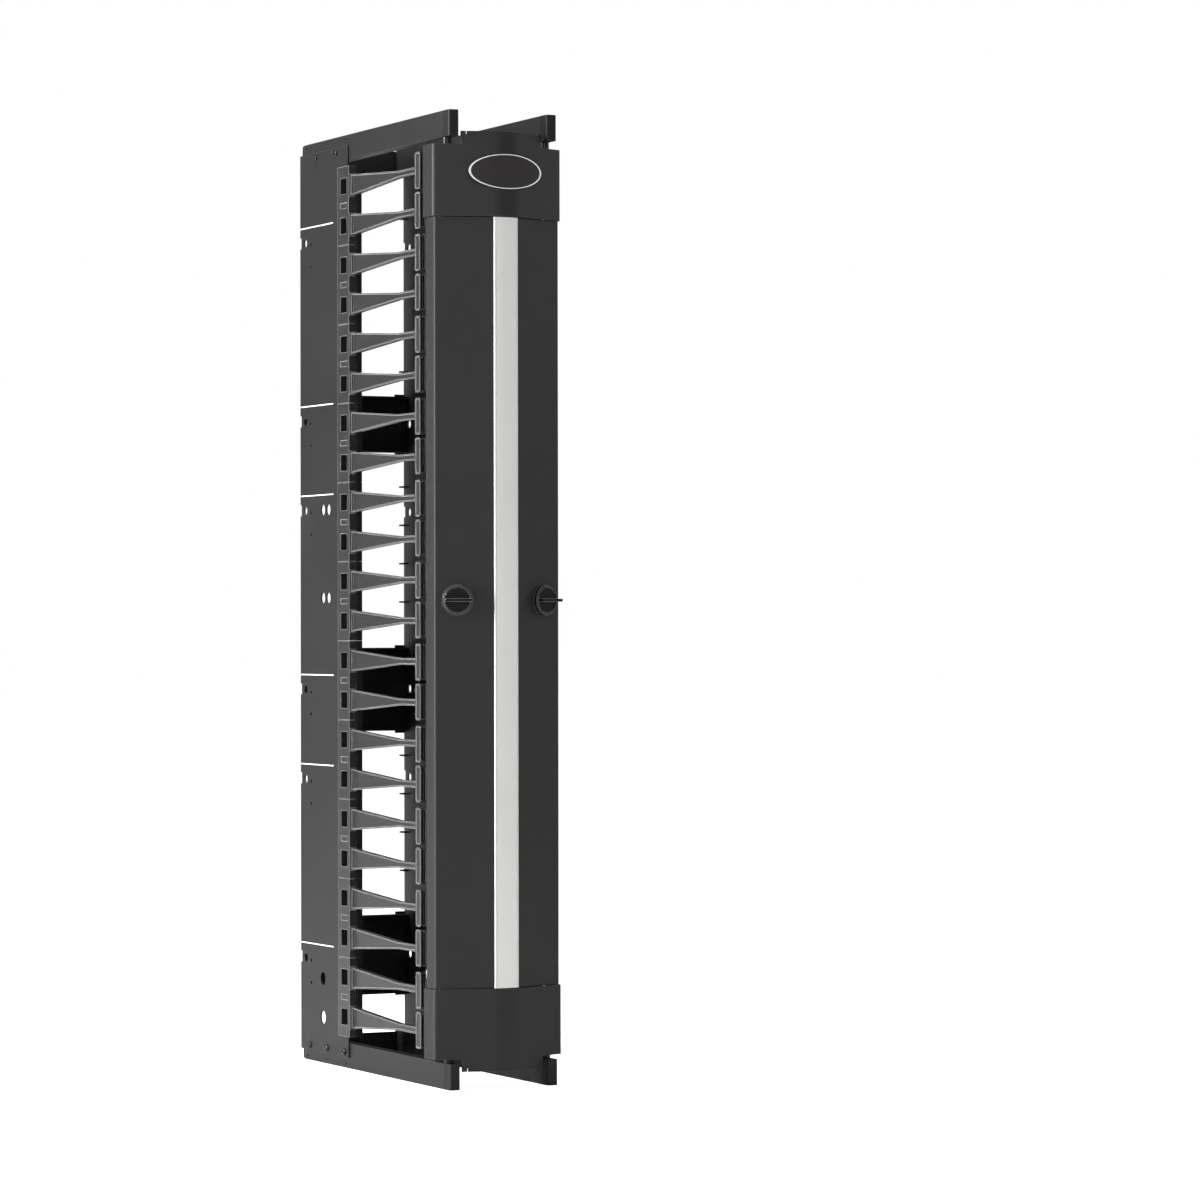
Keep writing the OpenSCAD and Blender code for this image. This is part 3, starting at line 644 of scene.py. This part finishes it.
def open_side_plate(side, node_name, piece_name):
    low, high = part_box(node_name)
    plate = mesh_object("plate", welded_copy(node_name))
    cutter, edges = plate_cutters(side, low, high)
    cut = plate.modifiers.new("cut", "BOOLEAN")
    cut.operation = "DIFFERENCE"
    cut.solver = "EXACT"
    cut.object = cutter
    shaped = plate.evaluated_get(bpy.context.evaluated_depsgraph_get())
    mesh = bmesh.new()
    mesh.from_mesh(shaped.to_mesh())
    bpy.data.objects.remove(cutter)
    bpy.data.objects.remove(plate)
    wall = high.x - SHEET + 2 * TOUCH if side > 0 else low.x + SHEET - 2 * TOUCH
    xs = sorted((wall, wall - side * TAB.x))
    rear = high.y - TAB_INSET
    middle = (low.z + high.z) / 2
    for k in range(-TABS_EACH_WAY, TABS_EACH_WAY + 1):
        z = middle + k * UNIT
        in_brace = any(b0 - TAB_CLEARANCE < z < b1 + TAB_CLEARANCE
                       for b0, b1 in zip(edges[1::2], edges[2::2]))
        if not in_brace:
            add_block(mesh, (xs[0], rear - TAB.y, z - TAB.z / 2), (xs[1], rear, z + TAB.z / 2))
    piece = add_piece(piece_name, mesh, "root", frame_coat)
    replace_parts(piece, node_name)


open_side_plate(-1, "side_plate_left", "side_plate_left_open")
open_side_plate(1, "side_plate_right", "side_plate_right_open")

# %% [markdown]
# Each finger module wraps round the plate's front flange: behind its outer wall it
# has a front wall and a long inner wall, which close the view through the seams.

# %% Inner walls of the finger modules
BASE_DEPTH = 33 * MM
WALL = 2.0 * MM
INNER_X = 50.6 * MM
INNER_REACH = 6.8 * MM
MODULES = 11
SEAM = 0.1 * MM


def add_prism(mesh, outline, z0, z1):
    rows = [[mesh.verts.new((x, y, z)) for x, y in outline] for z in (z0, z1)]
    count = len(outline)
    for i in range(count):
        j = (i + 1) % count
        mesh.faces.new((rows[0][i], rows[0][j], rows[1][j], rows[1][i]))
    for row in rows:
        mesh.faces.new(row)


def add_inner_walls(side, module_name, piece_name):
    low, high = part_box(module_name)
    front = high.y - BASE_DEPTH
    back = high.y + INNER_REACH
    outer_x = min(abs(low.x), abs(high.x)) + 4 * TOUCH
    outline = [(INNER_X, front), (outer_x, front), (outer_x, front + WALL),
               (INNER_X + WALL, front + WALL), (INNER_X + WALL, back), (INNER_X, back)]
    outline = [(side * x, y) for x, y in outline]
    middle = (box_low.z + box_high.z) / 2
    mesh = bmesh.new()
    for k in range(MODULES):
        z0 = middle + (2 * k - MODULES) * UNIT
        add_prism(mesh, outline, z0 + SEAM, z0 + 2 * UNIT - SEAM)
    add_piece(piece_name, mesh, "root", end_plastic)


add_inner_walls(-1, "fingers_left_01", "finger_inner_walls_left")
add_inner_walls(1, "fingers_right_01", "finger_inner_walls_right")

# %% [markdown]
# The braces at the two ends close the whole height of the tubes behind them. Each
# is a channel: a web with two lips that point forward between the tubes.

# %% End braces
LIP_HALF = 50 * MM
END_GAP = 1 * MM


def add_end_brace(node_name, piece_name, z0, z1):
    low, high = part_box(node_name)
    mesh = bmesh.new()
    add_block(mesh, (low.x, high.y - SHEET, z0), (high.x, high.y, z1))
    for z in (z0, z1 - SHEET):
        add_block(mesh, (-LIP_HALF, low.y, z), (LIP_HALF, high.y - SHEET, z + SHEET))
    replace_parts(add_piece(piece_name, mesh, "root", frame_coat), node_name)


add_end_brace("rear_brace_1", "lower_end_brace", box_low.z + END_GAP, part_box("rear_brace_1")[1].z)
add_end_brace("rear_brace_5", "upper_end_brace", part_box("rear_brace_5")[0].z, box_high.z - END_GAP)

# %% [markdown]
# The strip on the door's nose is an extrusion. It follows the round nose and has a
# raised bead and a groove along each edge, which draw thin light and dark lines.

# %% Centre strip
STRIP_HALF = 14.0 * MM
STRIP_BACK = 0.05
STRIP_FACE = [(0, 1.3), (0.22, 1.3), (0.44, 1.3), (0.66, 1.3), (0.84, 1.3), (0.85, 0.7),
              (0.89, 0.7), (0.90, 1.6), (0.97, 1.6), (1.0, 1.2), (1.0, STRIP_BACK)]


def add_strip():
    low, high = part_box("centre_strip")
    profile = [(-share, lift) for share, lift in reversed(STRIP_FACE)] + STRIP_FACE[1:]
    profile += [(share, STRIP_BACK) for share in (0.66, 0.33, 0.0, -0.33, -0.66)]
    outline = [(share * STRIP_HALF, skin_y(share * STRIP_HALF, lift * MM)) for share, lift in profile]
    mesh = bmesh.new()
    add_prism(mesh, outline, low.z, high.z)
    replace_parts(add_piece("door_strip", mesh, "door", strip_metal), "centre_strip")


add_strip()

# %% [markdown]
# The studio is a white floor under a white sky. The camera sees both as plain
# white. As light, the sky is bright behind the object and dim in front of it, so
# faces that we look along mirror the bright side and faces turned to us stay dark.

# %% Floor and sky
def seen_directly(tree):
    path = tree.nodes.new("ShaderNodeLightPath")
    return math_node(tree, "MAXIMUM", path.outputs["Is Camera Ray"], path.outputs["Is Transmission Ray"])


SKY_SEEN = 1.0
SKY_FRONT = 0.42
SKY_REAR = 0.14
world = bpy.data.worlds.new("white sky")
bpy.context.scene.world = world
world.use_nodes = True
sky_tree = world.node_tree
sky = sky_tree.nodes["Background"]
sky.inputs["Color"].default_value = (1, 1, 1, 1)
split = sky_tree.nodes.new("ShaderNodeSeparateXYZ")
sky_tree.links.new(sky_tree.nodes.new("ShaderNodeTexCoord").outputs["Generated"], split.inputs[0])
ramp = sky_tree.nodes.new("ShaderNodeMapRange")
sky_tree.links.new(split.outputs["Y"], ramp.inputs["Value"])
for label, value in (("From Min", -0.5), ("From Max", 0.8), ("To Min", SKY_FRONT), ("To Max", SKY_REAR)):
    ramp.inputs[label].default_value = value
choose = sky_tree.nodes.new("ShaderNodeMix")
sky_tree.links.new(seen_directly(sky_tree), choose.inputs[0])
sky_tree.links.new(ramp.outputs[0], choose.inputs[2])
choose.inputs[3].default_value = SKY_SEEN
sky_tree.links.new(choose.outputs[0], sky.inputs["Strength"])

floor_mesh = bmesh.new()
bmesh.ops.create_circle(floor_mesh, cap_ends=True, radius=30, segments=64)
floor_data = bpy.data.meshes.new("floor")
floor_mesh.to_mesh(floor_data)
floor_mesh.free()
floor = bpy.data.objects.new("floor", floor_data)
floor.location.z = box_low.z
bpy.context.scene.collection.objects.link(floor)
floor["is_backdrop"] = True
floor_paint = bpy.data.materials.new("white floor")
floor_paint.use_nodes = True
floor_shader = floor_paint.node_tree.nodes["Principled BSDF"]
floor_shader.inputs["Base Color"].default_value = (0.9, 0.9, 0.9, 1)
floor_shader.inputs["Roughness"].default_value = 0.9
floor_shader.inputs["Emission Color"].default_value = (1, 1, 1, 1)
FLOOR_GLOW = 0.85
glow = math_node(floor_paint.node_tree, "MULTIPLY", seen_directly(floor_paint.node_tree), FLOOR_GLOW)
floor_paint.node_tree.links.new(glow, floor_shader.inputs["Emission Strength"])
floor_data.materials.append(floor_paint)
print("floor at z =", round(box_low.z, 4))

# %% [markdown]
# Four large soft lamps. The strongest is a tall strip straight to the left: it lights
# the near side plate and the fingers, and the near plate keeps it off the far one.
# One in front keeps the door readable, and weak ones above and to the right open
# the shadows. The camera doesn't see the lamps themselves.

# %% Lamps
def add_lamp(name, place, size, watts):
    data = bpy.data.lights.new(name, "AREA")
    data.shape = "RECTANGLE"
    data.size, data.size_y = size
    data.energy = watts
    lamp = bpy.data.objects.new(name, data)
    bpy.context.scene.collection.objects.link(lamp)
    lamp.location = place
    lamp.visible_camera = False
    aim = Vector((0, 0, box_high.z / 2)) - Vector(place)
    lamp.rotation_euler = aim.to_track_quat("-Z", "Y").to_euler()
    print("lamp:", name, watts, "W")


add_lamp("left lamp", (-3.4, 0.6, 1.3), (0.7, 2.8), 270)
add_lamp("front lamp", (-1.2, -3.4, 2.0), (1.8, 2.0), 22)
add_lamp("top lamp", (0.4, 0.6, 3.4), (2.4, 2.4), 45)
add_lamp("right lamp", (3.0, -0.6, 1.8), (1.2, 2.0), 12)

# %% [markdown]
# The last cell notes the finished size next to the model's own box and hands the
# scene over.

# %% Finish
low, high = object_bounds()
size_rows = [size_rows, [list(low), list(high)]]
print("size in mm:", [round(v / MM, 1) for v in high - low])
